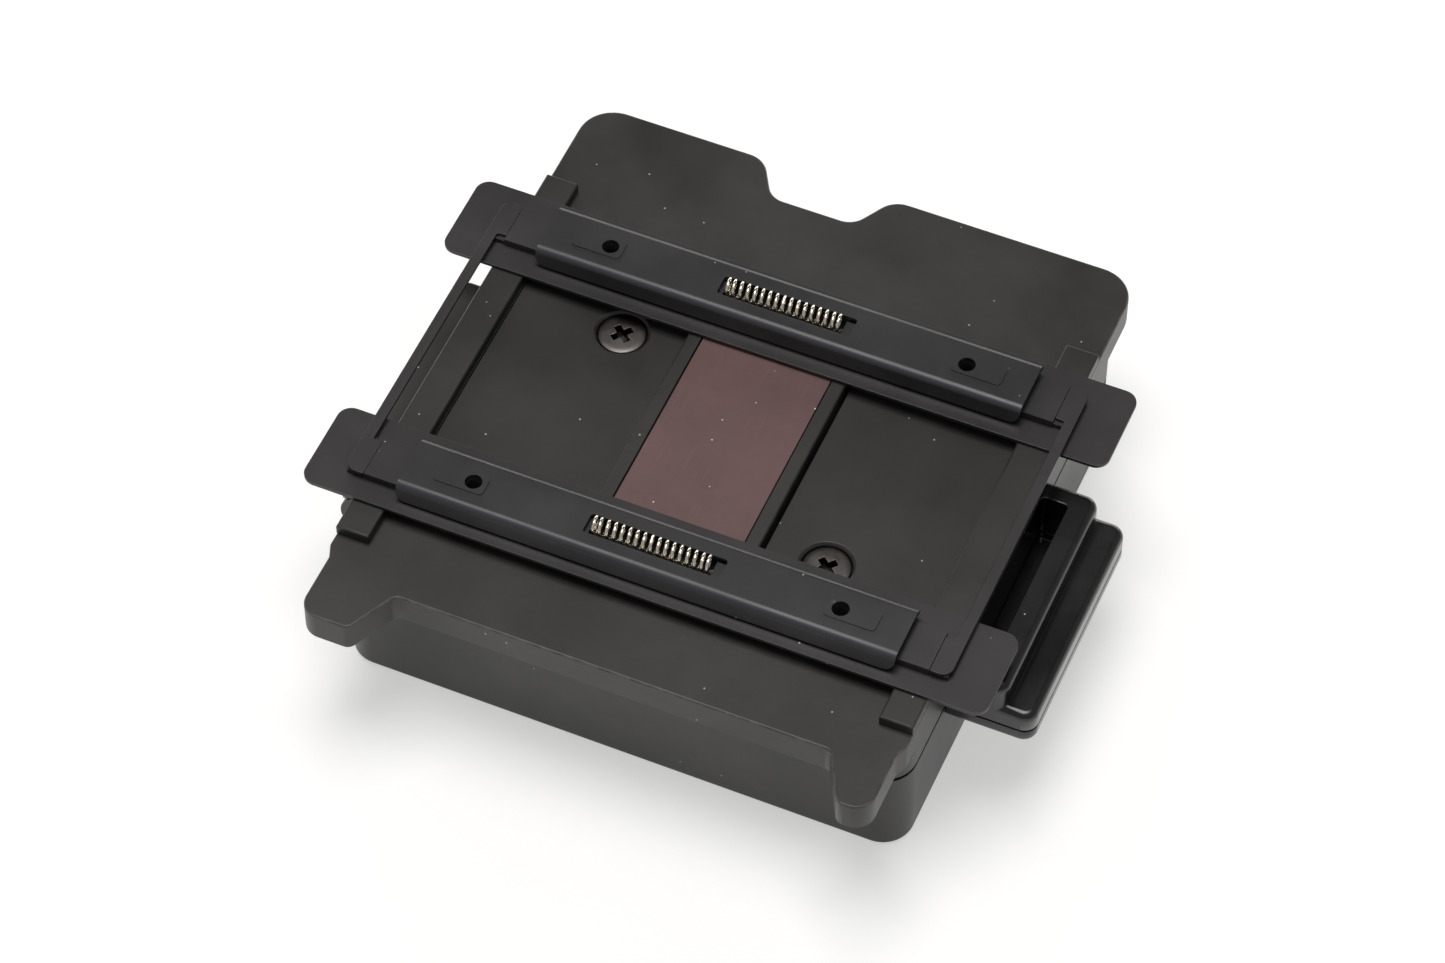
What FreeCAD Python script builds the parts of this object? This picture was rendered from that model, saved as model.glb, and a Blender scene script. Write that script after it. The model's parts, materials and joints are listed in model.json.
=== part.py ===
import FreeCAD, Part
import math
import os

# Negative carrier for 35 mm film: a hinged two-part housing that carries a stage plate with two
# sprung film rails, a pair of sliding end blades and a two-part pull handle.
# Millimetres, +Z up. The origin is on the base face, under the middle of the film gate.
# X runs along the film and the rails, and the handle is on the +X side.

V = FreeCAD.Vector

# ---- film gate and rails across the film ----
gate_height = 24.0            # clear gap between the inner edges of the two rail plates
tab_inner_margin = 5.67       # from the rail centre line to the inner edge of its plate
tab_outer_margin = 5.27       # from the rail centre line to the outer edge
rail_y = gate_height / 2 + tab_inner_margin

# ---- heights above the base ----
parting_z = 12.0              # plane where the two halves of the housing meet
frame_height = 4.4            # from the parting plane to the underside of the stage plate
plate_thickness = 3.6
guide_height = 1.3
tab_thickness = 0.45
cover_height = 2.7            # from the guide bars to the top of the rail covers
frame_top = parting_z + frame_height
plate_top = frame_top + plate_thickness
guide_top = plate_top + guide_height      # the rail plates lie on the guide bars
tab_top = guide_top + tab_thickness
cover_top = guide_top + cover_height

# ---- guide bars ----
guide_width = 3.8
guide_edge = 0.25
guide_beyond_rail = 9.13      # from the rail centre line to the end of the bar
guide_half_depth = rail_y + guide_beyond_rail

# ---- housing ----
shell_half_width = 32.6
shell_front_margin = 1.4      # past the ends of the guide bars
shell_back_margin = 7.2
shell_front = -guide_half_depth - shell_front_margin
shell_back = guide_half_depth + shell_back_margin
shell_corner = 3.5
wall = 2.4
floor = 2.0
inner_corner_least = 0.8
shell_gap = 0.5               # groove round the housing between its two halves
parting_gap = 0.2             # between the two halves of the handle
base_edge = 0.7               # rounding of the bottom edge
rib_depth = 2.0               # ribs under the stage plate, through the screw bosses
rib_bite = 0.1                # how far a rib runs into the wall

# ---- stage plate outline ----
plate_side_margin = 0.2       # past the side walls of the housing
plate_back_margin = 5.5
plate_front_margin = 3.6
plate_half_width = shell_half_width + plate_side_margin
plate_back = shell_back + plate_back_margin
plate_back_corner = 4.1
plate_edge = 0.25             # rounding of the top edge
plate_front = shell_front - plate_front_margin    # straight front edge between the lobes
lobe_length = 5.7
lobe_step = 0.6               # each side is this much narrower at the lobes
lobe_front = plate_front - lobe_length
lobe_half_width = plate_half_width - lobe_step
left_lobe_width = 5.9         # along its front edge, corners included
left_lobe_flank = 2.8         # how much wider it is where it meets the front edge
right_lobe_width = 3.4
right_lobe_flank = 3.1
lobe_outer_corner = 2.2
lobe_inner_corner = 1.1
lobe_foot_corner = 1.0
shoulder_length = 1.5
shoulder_margin = 0.85        # from the housing's front wall to the middle of the shoulder
shoulder_corner = 0.6
notch_centre = -4.1
notch_half_top = 7.8
notch_half_bottom = 4.9
notch_depth = 5.0
notch_shoulder = 3.0          # rounding at the mouth of the notch
notch_floor_corner = 2.5

# ---- bed, platen and slip strip ----
bed_end_gap = 0.2             # between the bed and each guide bar
bed_thickness = 1.6
bed_clearance = 0.1
bed_beyond_rail = 4.33
platen_half_width = 9.2
platen_side_margin = 0.8      # from the end of the platen to the edge of the bed
platen_below_rails = 0.1
platen_gap = 0.35             # gap along the +X side of the platen
platen_edge = 0.15
strip_half_width = 7.5
strip_end_margin = 0.4
strip_thickness = 0.4
strip_sunk = 0.1
strip_side_gap = 0.16
guide_inner = plate_half_width - guide_width
bed_half_length = guide_inner - bed_end_gap
bed_half_depth = rail_y + bed_beyond_rail
platen_half_depth = bed_half_depth - platen_side_margin
strip_half_depth = platen_half_depth - strip_end_margin

# ---- bed screws ----
screw_beyond_platen = 7.1     # from the edge of the platen to the screw's centre
screw_y = 10.2
screw_head_radius = 2.7
screw_head_height = 1.0
screw_shank_radius = 1.25
screw_length = 7.2
screw_sunk = 0.25
screw_head_edge = 0.3
screw_hole_spare = 0.6        # the hole in the boss runs this far past the screw
recess_half_length = 1.35     # cross recess
recess_half_width = 0.34
recess_depth = 0.75
recess_turn = 40.0            # degrees
counterbore_clearance = 0.12
counterbore_radius = screw_head_radius + counterbore_clearance
counterbore_rim = 0.3
thread_clearance = 0.15
boss_wall = 1.75
boss_radius = screw_shank_radius + boss_wall
screw_x = platen_half_width + screw_beyond_platen
screw_places = ((-screw_x, screw_y), (screw_x, -screw_y))

# ---- rails ----
tab_overhang = 6.2            # the rail plates stand out this far at each side
tab_half_length = plate_half_width + tab_overhang
tab_corner = 1.6
cover_end_margin = 4.4        # from the end of the cover to the side of the stage plate
cover_half_length = plate_half_width - cover_end_margin
cover_side_gap = 0.25         # between the slide bars and the flanges
cover_sheet = 0.45
cover_foot_gap = 0.35         # between the foot of each flange and the rail plate
cover_lean = 0.68             # how far the foot of each flange stands out
cover_bend = 1.0              # outer radius of each bend
cover_inner_bend = cover_bend - cover_sheet
cover_end_round = 1.2
window_half_length = 7.8
window_front_gap = 0.16       # past the side of the coil, towards -Y
window_rear_gap = 0.05
window_corner = 0.35
pad_end_margin = 3.2          # from the end of the cover
pad_length = 5.8
pad_half_width = 1.35
pad_height = 0.15
pad_corner = 0.5
spacer_inset = 1.52           # from the inner end of the pad
spacer_bore = 0.95
spacer_wall = 0.35
spacer_radius = spacer_bore + spacer_wall
slide_clearance = 0.05
pad_outer = cover_half_length - pad_end_margin
pad_inner = pad_outer - pad_length
spacer_x = pad_inner + spacer_inset
bar_half_width = 2.6
cover_half_width = bar_half_width + cover_side_gap + cover_sheet
cover_under = cover_top - cover_sheet
cover_drop = cover_height - tab_thickness - cover_foot_gap

# ---- blades and slide bars ----
blade_travel = 1.35           # the coil then just reaches the end of its window
bar_thickness = 0.9
bar_step_inset = 0.95         # the bar is full thickness up to here, from the plate's side
bar_step_overlap = 1.0
bar_overhang = 1.1            # the thin end reaches this far past the plate's side
bar_outer_inset = 0.1         # the thin end is this much narrower on each side
bar_inner = 6.6
lug_length = 2.4              # raised lug at the inner end, which holds the spring
lug_half_width = 1.05
lug_gap = 0.2                 # below the sheet of the cover
bore_depth = 1.2              # bore for the end of the spring
bore_clearance = 0.04
blade_thickness = 0.4
blade_margin = 0.25           # past the end of the bar
blade_strip = 1.2
blade_foot = 2.25
blade_side_margin = 0.03      # past the side of the bar
blade_foot_depth = 4.6
blade_corner = 1.2
blade_foot_corner = 0.2
blade_neck_corner = 0.3
left_offset = 0.75            # the left blade rests this much further out
slot_end_gap = 0.12
slot_corner_trim = 0.02       # keeps the slot's round ends just short of half circles
bar_step = plate_half_width - bar_step_inset
bar_outer = plate_half_width + bar_overhang
bar_low = tab_top + slide_clearance
bar_high = bar_low + bar_thickness
blade_outer = bar_outer + blade_margin
blade_half_depth = rail_y + bar_half_width + blade_side_margin
blade_low = bar_high - blade_thickness

# ---- springs ----
coil_radius = 0.98            # centre line of the wire
wire_radius = 0.19
coil_turns = 16.5
spring_end_gap = 0.05
coil_outer = coil_radius + wire_radius
spring_drop = 0.12            # the coil's axis lies this far below the top of the cover
spring_z = cover_top - spring_drop
window_front = coil_outer + window_front_gap
window_rear = coil_outer + window_rear_gap

# ---- handle, measured from the side wall of the housing ----
handle_front = -16.6
handle_back = 11.2
block_width = 6.6             # raised block
handle_width = 9.8
block_rise = 1.5              # top of the block above the underside of the stage plate
ledge_height = 2.6            # top of the ledge above the parting plane
handle_depth = 2.0            # bottom of the handle below the parting plane
handle_corner = 1.6
handle_edge = 0.9
finger_slot_start = 0.7
finger_slot_width = 3.0
finger_slot_front_margin = 5.2
finger_slot_back_margin = 2.4
finger_slot_corner = 0.5
finger_slot_floor = 0.8       # thickness left under the slot
handle_plate_gap = 0.05       # between the block and the side of the stage plate
handle_block = shell_half_width + block_width
handle_outer = shell_half_width + handle_width
handle_block_top = frame_top + block_rise
handle_ledge_top = parting_z + ledge_height
handle_bottom = parting_z - handle_depth
finger_slot_inner = shell_half_width + finger_slot_start
finger_slot_outer = finger_slot_inner + finger_slot_width

# ---- hinge ----
knuckle_radius = 3.0
knuckle_count = 5
knuckle_gap = 0.15
knuckle_pocket = 0.3
hinge_wall = 0.4              # what is left of the side wall behind the knuckles
hinge_x = -shell_half_width + wall - hinge_wall - knuckle_pocket - knuckle_radius
hinge_end_margin = 2.0        # the barrel starts this far in front of the handle's end
hinge_back_margin = 1.7
hinge_block_corner = 1.2      # corners of the block that covers the knuckles
hinge_block_edge = 0.4
hinge_front = handle_front - hinge_end_margin
hinge_back = handle_back + hinge_back_margin
pin_radius = 1.2
pin_clearance = 0.05
pin_end_inset = 0.4
web_depth = 2.0               # how far the webs reach from the parting plane

# ---- heights that follow ----
platen_top = guide_top - platen_below_rails
bed_low = plate_top - bed_thickness
spare = 1.0                   # how far a cutting solid stands past what it cuts


def box(x0, x1, y0, y1, z0, z1):
    return Part.makeBox(x1 - x0, y1 - y0, z1 - z0, V(x0, y0, z0))


def rod(radius, x, y, z0, z1):
    return Part.makeCylinder(radius, z1 - z0, V(x, y, z0))


def rounded_wire(corners, place):
    """Closed wire through (a, b, radius) corners; place(a, b) puts each point in space."""
    edges = []
    starts = []
    count = len(corners)
    for i in range(count):
        a, b, radius = corners[i]
        here = V(a, b, 0)
        before = V(corners[i - 1][0], corners[i - 1][1], 0) - here
        after = V(corners[(i + 1) % count][0], corners[(i + 1) % count][1], 0) - here
        if radius <= 0:
            starts.append((here, None, here))
            continue
        before.normalize()
        after.normalize()
        half = before.getAngle(after) / 2
        reach = radius / math.tan(half)
        inward = before + after
        inward.normalize()
        middle = here + inward * (radius / math.sin(half) - radius)
        starts.append((here + before * reach, middle, here + after * reach))
    for i in range(count):
        first, middle, last = starts[i]
        if middle is not None:
            edges.append(Part.Arc(place(first.x, first.y), place(middle.x, middle.y),
                                  place(last.x, last.y)).toShape())
        following = starts[(i + 1) % count][0]
        if last.distanceToPoint(following) > 1e-6:
            edges.append(Part.LineSegment(place(last.x, last.y),
                                          place(following.x, following.y)).toShape())
    return Part.Wire(edges)


def slab(corners, z0, z1):
    """Flat plate with rounded corners, standing from z0 to z1."""
    wire = rounded_wire(corners, lambda a, b: V(a, b, z0))
    return Part.Face(wire).extrude(V(0, 0, z1 - z0))


def rectangle(x0, x1, y0, y1, radius):
    return [(x0, y0, radius), (x1, y0, radius), (x1, y1, radius), (x0, y1, radius)]


def round_edges(shape, radius, wanted):
    edges = [edge for edge in shape.Edges if wanted(edge)]
    return shape.makeFillet(radius, edges)


def level_edge(z):
    """True for an edge that lies flat at height z."""
    return lambda edge: abs(edge.BoundBox.ZMin - z) < 1e-4 and abs(edge.BoundBox.ZMax - z) < 1e-4


def save(shape, name):
    clean = shape.removeSplitter()
    if not clean.isValid():
        raise ValueError("invalid solid: " + name)
    clean.exportStep("parts/" + name + ".step")
    print(name, len(clean.Solids), round(clean.Volume, 2))


# ---- hinge knuckles ----
knuckle_length = (hinge_back - hinge_front) / knuckle_count


def knuckle_ends(index):
    low = hinge_front + index * knuckle_length
    return low + knuckle_gap / 2, low + knuckle_length - knuckle_gap / 2


def hinge_rod(radius, y0, y1):
    return Part.makeCylinder(radius, y1 - y0, V(hinge_x, y0, parting_z), V(0, 1, 0))


def add_knuckles(shell, own, other, z0, z1):
    """Give a shell its own knuckles, with webs into its wall, and room for the other shell's."""
    for index in other:
        y0, y1 = knuckle_ends(index)
        shell = shell.cut(hinge_rod(knuckle_radius + knuckle_pocket, y0 - knuckle_gap, y1 + knuckle_gap))
    for index in own:
        y0, y1 = knuckle_ends(index)
        web = box(hinge_x, -shell_half_width + wall, y0, y1, z0, z1)
        shell = shell.fuse(hinge_rod(knuckle_radius, y0, y1)).fuse(web)
    return shell.cut(hinge_rod(pin_radius + pin_clearance, hinge_front - spare, hinge_back + spare))


def make_hinge_block(low):
    """Block on the side of the upper half that covers the knuckles, up to the stage plate."""
    block = slab(rectangle(hinge_x - knuckle_radius, -shell_half_width + wall / 2, hinge_front, hinge_back,
                           hinge_block_corner), low, frame_top)
    return round_edges(block, hinge_block_edge, lambda edge: level_edge(frame_top)(edge)
                       and edge.BoundBox.XMin < -plate_half_width)


lower_knuckles = [i for i in range(knuckle_count) if i % 2 == 0]
upper_knuckles = [i for i in range(knuckle_count) if i % 2 == 1]


# ---- housing ----
def shell_block(inset, z0, z1):
    radius = max(shell_corner - inset, inner_corner_least)
    return slab(rectangle(-shell_half_width + inset, shell_half_width - inset,
                          shell_front + inset, shell_back - inset, radius), z0, z1)


def make_lower_shell():
    top = parting_z - shell_gap / 2
    shell = round_edges(shell_block(0, 0, top), base_edge, level_edge(0))
    shell = shell.cut(shell_block(wall, floor, top + spare))
    return add_knuckles(shell, lower_knuckles, upper_knuckles, parting_z - web_depth, top)


def make_upper_frame():
    low = parting_z + shell_gap / 2
    frame = shell_block(0, low, frame_top).cut(shell_block(wall, low - spare, frame_top + spare))
    frame = frame.fuse(make_hinge_block(low))
    rib_front = shell_front + wall - rib_bite
    rib_back = shell_back - wall + rib_bite
    hole_end = plate_top - screw_sunk - screw_length - screw_hole_spare
    for x, y in screw_places:
        rib = box(x - wall / 2, x + wall / 2, rib_front, rib_back, frame_top - rib_depth, frame_top)
        frame = frame.fuse(rib).fuse(rod(boss_radius, x, y, low, frame_top))
        frame = frame.cut(rod(screw_shank_radius, x, y, hole_end, frame_top + spare))
    return add_knuckles(frame, upper_knuckles, lower_knuckles, low, parting_z + web_depth)


def make_stage_plate():
    n0, n1 = notch_centre - notch_half_top, notch_centre + notch_half_top
    b0, b1 = notch_centre - notch_half_bottom, notch_centre + notch_half_bottom
    notch_back = plate_back - notch_depth
    step_high = shell_front - shoulder_margin + shoulder_length / 2
    step_low = step_high - shoulder_length
    left_inner = -lobe_half_width + left_lobe_width
    right_inner = lobe_half_width - right_lobe_width
    outline = [
        (-lobe_half_width, lobe_front, lobe_outer_corner), (left_inner, lobe_front, lobe_inner_corner),
        (left_inner + left_lobe_flank, plate_front, lobe_foot_corner),
        (right_inner - right_lobe_flank, plate_front, lobe_foot_corner),
        (right_inner, lobe_front, lobe_inner_corner), (lobe_half_width, lobe_front, lobe_outer_corner),
        (lobe_half_width, step_low, shoulder_corner), (plate_half_width, step_high, shoulder_corner),
        (plate_half_width, plate_back, plate_back_corner),
        (n1, plate_back, notch_shoulder), (b1, notch_back, notch_floor_corner),
        (b0, notch_back, notch_floor_corner), (n0, plate_back, notch_shoulder),
        (-plate_half_width, plate_back, plate_back_corner),
        (-plate_half_width, step_high, shoulder_corner), (-lobe_half_width, step_low, shoulder_corner)]
    plate = slab(outline, frame_top, plate_top)
    plate = round_edges(plate, plate_edge, level_edge(plate_top))
    plate = plate.cut(box(-bed_half_length - bed_clearance, bed_half_length + bed_clearance,
                          -bed_half_depth - bed_clearance, bed_half_depth + bed_clearance,
                          bed_low, plate_top + spare))
    for x, y in screw_places:
        plate = plate.cut(rod(screw_shank_radius + thread_clearance, x, y, frame_top - spare, plate_top))
    return plate


def make_bed_plate():
    bed = box(-bed_half_length, bed_half_length, -bed_half_depth, bed_half_depth, bed_low, plate_top)
    bed = bed.cut(box(-platen_half_width - bed_clearance, platen_half_width + platen_gap,
                      -platen_half_depth - bed_clearance, platen_half_depth + bed_clearance,
                      bed_low - spare, plate_top + spare))
    for x, y in screw_places:
        bed = bed.cut(rod(counterbore_radius, x, y, plate_top - screw_sunk - screw_head_height,
                          plate_top + spare))
        bed = bed.cut(rod(screw_shank_radius + thread_clearance, x, y, bed_low - spare, plate_top))
        bed = bed.cut(Part.makeCone(counterbore_radius, counterbore_radius + counterbore_rim,
                                    counterbore_rim, V(x, y, plate_top - counterbore_rim)))
    return bed


def make_film_platen():
    platen = box(-platen_half_width, platen_half_width, -platen_half_depth, platen_half_depth,
                 bed_low, platen_top)
    platen = platen.makeChamfer(platen_edge, [e for e in platen.Edges if level_edge(platen_top)(e)])
    return platen.cut(box(-strip_half_width - strip_side_gap, strip_half_width + strip_side_gap,
                          -strip_half_depth - strip_side_gap, strip_half_depth + strip_side_gap,
                          platen_top - strip_sunk - strip_thickness, platen_top + spare))


def make_slip_strip():
    high = platen_top - strip_sunk
    return box(-strip_half_width, strip_half_width, -strip_half_depth, strip_half_depth,
               high - strip_thickness, high)


def make_bed_screws():
    screws = []
    head_top = plate_top - screw_sunk
    for x, y in screw_places:
        head = rod(screw_head_radius, x, y, head_top - screw_head_height, head_top)
        head = round_edges(head, screw_head_edge, level_edge(head_top))
        screw = head.fuse(rod(screw_shank_radius, x, y, head_top - screw_length, head_top - recess_depth))
        for turn in (recess_turn, recess_turn + 90):
            arm = box(-recess_half_length, recess_half_length, -recess_half_width, recess_half_width,
                      head_top - recess_depth, head_top + spare)
            arm.rotate(V(0, 0, 0), V(0, 0, 1), turn)
            arm.translate(V(x, y, 0))
            screw = screw.cut(arm)
        screws.append(screw.removeSplitter())
    return Part.makeCompound(screws)


def make_guide_bar(side):
    x0, x1 = sorted((side * guide_inner, side * plate_half_width))
    bar = box(x0, x1, -guide_half_depth, guide_half_depth, plate_top, guide_top)
    return round_edges(bar, guide_edge, level_edge(guide_top))


# ---- rails ----
def make_rail_plate(side):
    y0, y1 = sorted((side * (rail_y - tab_inner_margin), side * (rail_y + tab_outer_margin)))
    plate = slab(rectangle(-tab_half_length, tab_half_length, y0, y1, tab_corner), guide_top, tab_top)
    for x in (-spacer_x, spacer_x):
        plate = plate.cut(rod(spacer_radius, x, side * rail_y, guide_top - spare, tab_top + spare))
    return plate


def make_rail_cover(side):
    """Bent sheet cover, an inverted trough with leaning flanges, over the slide bars."""
    foot = cover_top - cover_drop
    half, lean = cover_half_width, cover_lean
    slope = lean / cover_drop
    inner = half - cover_sheet
    profile = [(-half, cover_top, cover_bend), (half, cover_top, cover_bend), (half + lean, foot, 0),
               (half + lean - cover_sheet, foot, 0),
               (inner + slope * cover_sheet, cover_under, cover_inner_bend),
               (-inner - slope * cover_sheet, cover_under, cover_inner_bend),
               (-half - lean + cover_sheet, foot, 0), (-half - lean, foot, 0)]
    centre = side * rail_y
    wire = rounded_wire(profile, lambda a, b: V(-cover_half_length, centre + a, b))
    cover = Part.Face(wire).extrude(V(2 * cover_half_length, 0, 0))
    ends = [(-cover_half_length, foot, cover_end_round), (cover_half_length, foot, cover_end_round),
            (cover_half_length, cover_top + spare, 0), (-cover_half_length, cover_top + spare, 0)]
    reach = half + lean + spare
    side_wire = rounded_wire(ends, lambda a, b: V(a, centre - reach, b))
    cover = cover.common(Part.Face(side_wire).extrude(V(0, 2 * reach, 0)))
    for x in (-1, 1):
        x0, x1 = sorted((x * pad_inner, x * pad_outer))
        pad = slab(rectangle(x0, x1, centre - pad_half_width, centre + pad_half_width, pad_corner),
                   cover_top - cover_sheet / 2, cover_top + pad_height)
        cover = cover.fuse(pad)
    for x in (-spacer_x, spacer_x):
        cover = cover.cut(rod(spacer_bore, x, centre, cover_under - spare, cover_top + spare))
    window = rectangle(-window_half_length, window_half_length, centre - window_front,
                       centre + window_rear, window_corner)
    return cover.cut(slab(window, cover_under - spare, cover_top + spare))


def make_rail_spacers():
    spacers = []
    for side in (-1, 1):
        for x in (-spacer_x, spacer_x):
            tube = rod(spacer_radius, x, side * rail_y, guide_top, cover_under)
            bore = rod(spacer_bore, x, side * rail_y, guide_top - spare, cover_under + spare)
            spacers.append(tube.cut(bore))
    return Part.makeCompound(spacers)


def make_slide_bar(end, side):
    """end is -1 for the left blade and 1 for the right one; side picks the rail."""
    shift = left_offset if end < 0 else 0.0
    centre = side * rail_y

    def along(x):
        return end * (x + shift)

    def block(x0, x1, half, z0, z1):
        a, b = sorted((along(x0), along(x1)))
        return box(a, b, centre - half, centre + half, z0, z1)

    bar = block(bar_inner, bar_step, bar_half_width, bar_low, bar_high)
    bar = bar.fuse(block(bar_step - bar_step_overlap, bar_outer, bar_half_width - bar_outer_inset,
                         bar_low, blade_low))
    bar = bar.fuse(block(bar_inner, bar_inner + lug_length, lug_half_width, bar_low, cover_under - lug_gap))
    bore = Part.makeCylinder(wire_radius + bore_clearance, bore_depth + spare,
                             V(along(bar_inner - spare), centre, spring_z - coil_radius), V(end, 0, 0))
    clear = spacer_radius + slot_end_gap
    a, b = sorted((along(spacer_x), along(spacer_x - blade_travel)))
    slot = rectangle(a - clear, b + clear, centre - clear, centre + clear, clear - slot_corner_trim)
    return bar.cut(bore).cut(slab(slot, bar_low - spare, bar_high + spare))


def make_blade(end):
    shift = left_offset if end < 0 else 0.0
    outer = blade_outer + shift
    inner = outer - blade_strip
    foot = outer - blade_foot
    inside = blade_half_depth - blade_foot_depth
    corners = [(outer, -blade_half_depth, blade_corner), (outer, blade_half_depth, blade_corner),
               (foot, blade_half_depth, blade_foot_corner), (foot, inside, blade_foot_corner),
               (inner, inside, blade_neck_corner), (inner, -inside, blade_neck_corner),
               (foot, -inside, blade_foot_corner), (foot, -blade_half_depth, blade_foot_corner)]
    return slab([(end * a, b, r) for a, b, r in corners], blade_low, bar_high)


def make_spring(side):
    """Extension coil between the inner ends of the two slide bars of one rail."""
    start = -(bar_inner + left_offset) + spring_end_gap + wire_radius
    end = bar_inner - spring_end_gap - wire_radius
    length = end - start
    helix = Part.makeHelix(length / coil_turns, length, coil_radius)
    circle = Part.Wire(Part.makeCircle(wire_radius, V(coil_radius, 0, 0), V(0, 1, 0)))
    coil = Part.Wire(helix.Edges).makePipeShell([circle], True, True)
    coil.rotate(V(0, 0, 0), V(0, 1, 0), 90)
    coil.translate(V(start, side * rail_y, spring_z))
    return coil


# ---- handle ----
def handle_half(upper):
    inner = shell_half_width
    if upper:
        z0 = parting_z + parting_gap / 2
        ledge = slab(rectangle(inner - handle_corner, handle_outer, handle_front, handle_back,
                               handle_corner), z0, handle_ledge_top)
        ledge = round_edges(ledge, handle_edge, level_edge(handle_ledge_top))
        block = slab(rectangle(inner - handle_corner, handle_block, handle_front, handle_back,
                               handle_corner), z0, handle_block_top)
        block = round_edges(block, handle_edge, level_edge(handle_block_top))
        half = ledge.fuse(block)
    else:
        z0 = handle_bottom
        half = slab(rectangle(inner - handle_corner, handle_outer, handle_front, handle_back,
                              handle_corner), z0, parting_z - parting_gap / 2)
        half = round_edges(half, handle_edge, level_edge(z0))
    start = inner - handle_corner - spare
    half = half.cut(box(start, inner, handle_front - spare, handle_back + spare, 0, cover_top))
    half = half.cut(box(start, plate_half_width + handle_plate_gap, handle_front - spare,
                        handle_back + spare, frame_top - handle_plate_gap, cover_top))
    slot = rectangle(finger_slot_inner, finger_slot_outer, handle_front + finger_slot_front_margin,
                     handle_back - finger_slot_back_margin, finger_slot_corner)
    return half.cut(slab(slot, handle_bottom + finger_slot_floor, cover_top))


def make_hinge_pin():
    return hinge_rod(pin_radius, hinge_front + pin_end_inset, hinge_back - pin_end_inset)


os.makedirs("parts", exist_ok=True)
save(make_lower_shell(), "lower_shell")
save(handle_half(False), "handle_lower")
save(make_hinge_pin(), "hinge_pin")
save(make_upper_frame(), "upper_frame")
save(make_stage_plate(), "stage_plate")
save(make_bed_plate(), "bed_plate")
save(make_film_platen(), "film_platen")
save(make_slip_strip(), "slip_strip")
save(make_bed_screws(), "bed_screws")
save(handle_half(True), "handle_upper")
save(make_rail_spacers(), "rail_spacers")
save(make_guide_bar(-1), "left_guide_bar")
save(make_guide_bar(1), "right_guide_bar")
for side, place in ((1, "rear"), (-1, "front")):
    save(make_rail_plate(side), place + "_rail_plate")
    save(make_rail_cover(side), place + "_rail_cover")
    save(make_spring(side), place + "_spring")
    save(make_slide_bar(-1, side), "left_" + place + "_slide_bar")
    save(make_slide_bar(1, side), "right_" + place + "_slide_bar")
save(make_blade(-1), "left_blade")
save(make_blade(1), "right_blade")
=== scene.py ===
import json
import math

import bpy
from bpy.props import FloatProperty, FloatVectorProperty, PointerProperty
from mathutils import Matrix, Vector


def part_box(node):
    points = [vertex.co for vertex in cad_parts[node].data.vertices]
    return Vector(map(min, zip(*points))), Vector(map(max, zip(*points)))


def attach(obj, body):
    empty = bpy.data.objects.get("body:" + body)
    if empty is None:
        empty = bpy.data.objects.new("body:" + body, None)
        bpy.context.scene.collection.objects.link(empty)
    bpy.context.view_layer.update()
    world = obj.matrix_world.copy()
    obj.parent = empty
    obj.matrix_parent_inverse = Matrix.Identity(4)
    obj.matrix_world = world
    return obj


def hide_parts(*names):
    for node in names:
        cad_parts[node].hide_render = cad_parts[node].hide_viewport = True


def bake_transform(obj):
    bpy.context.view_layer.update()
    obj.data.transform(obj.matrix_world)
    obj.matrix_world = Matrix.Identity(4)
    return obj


bl_info = {
    "name": "Negative Carrier",
    "version": (1, 0, 0),
    "blender": (4, 5, 0),
    "location": "View3D > Sidebar > Carrier",
    "description": "Finishes and fine pieces of a hinged 35 mm negative carrier",
    "category": "Object",
}

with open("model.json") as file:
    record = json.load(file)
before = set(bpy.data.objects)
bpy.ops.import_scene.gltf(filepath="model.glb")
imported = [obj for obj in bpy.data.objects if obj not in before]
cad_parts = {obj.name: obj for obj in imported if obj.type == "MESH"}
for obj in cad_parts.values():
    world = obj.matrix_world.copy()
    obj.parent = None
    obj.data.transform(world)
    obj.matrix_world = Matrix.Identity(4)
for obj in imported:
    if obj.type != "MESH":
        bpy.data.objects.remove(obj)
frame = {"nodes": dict(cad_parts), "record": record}                         # the fixed frame, in metres, with +Z up
NODES = frame["nodes"]
PARTS = {part["node"]: part for part in frame["record"]["subparts"]}
BODY = {node: body for body, members in frame["record"]["behaviour"]["bodies"].items() for node in members}
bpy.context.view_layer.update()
FINISHES = {}                             # material slot to finish, filled by the finishes operator
MM = 0.001
MERGE = 0.001 * MM                        # vertices this close are one
FLAT = math.radians(0.3)                  # facets turned less than this are one face
CORNER = math.radians(32)                 # edges turned more than this are sharp

DUST = (0.42, 0.41, 0.38)
STRIP_DUST = (0.62, 0.58, 0.56)
HANDLE_DUST = (0.40, 0.39, 0.34)
BARE_METAL = (0.62, 0.58, 0.50)
# Painted shade: near-black colour laid into the screw recesses where shade falls.
PAINTED_RECESS_SHADE = (0.012, 0.010, 0.009)
TABLE_LIGHT = (1.0, 0.998, 0.992, 1.0)

# The top of a screw head, from its rim inwards: share of its radius, and drop as a share of its height.
DOME = ((1.0, 0.30), (0.99, 0.20), (0.965, 0.12), (0.92, 0.08), (0.75, 0.03), (0.3, 0.0))
RECESS_FOOT = (0.74, 0.8, 1.0)            # the foot of a recess arm beside its top, along, across and up
SHANK_POINT = 0.8                         # the end of a screw beside its shank


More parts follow.
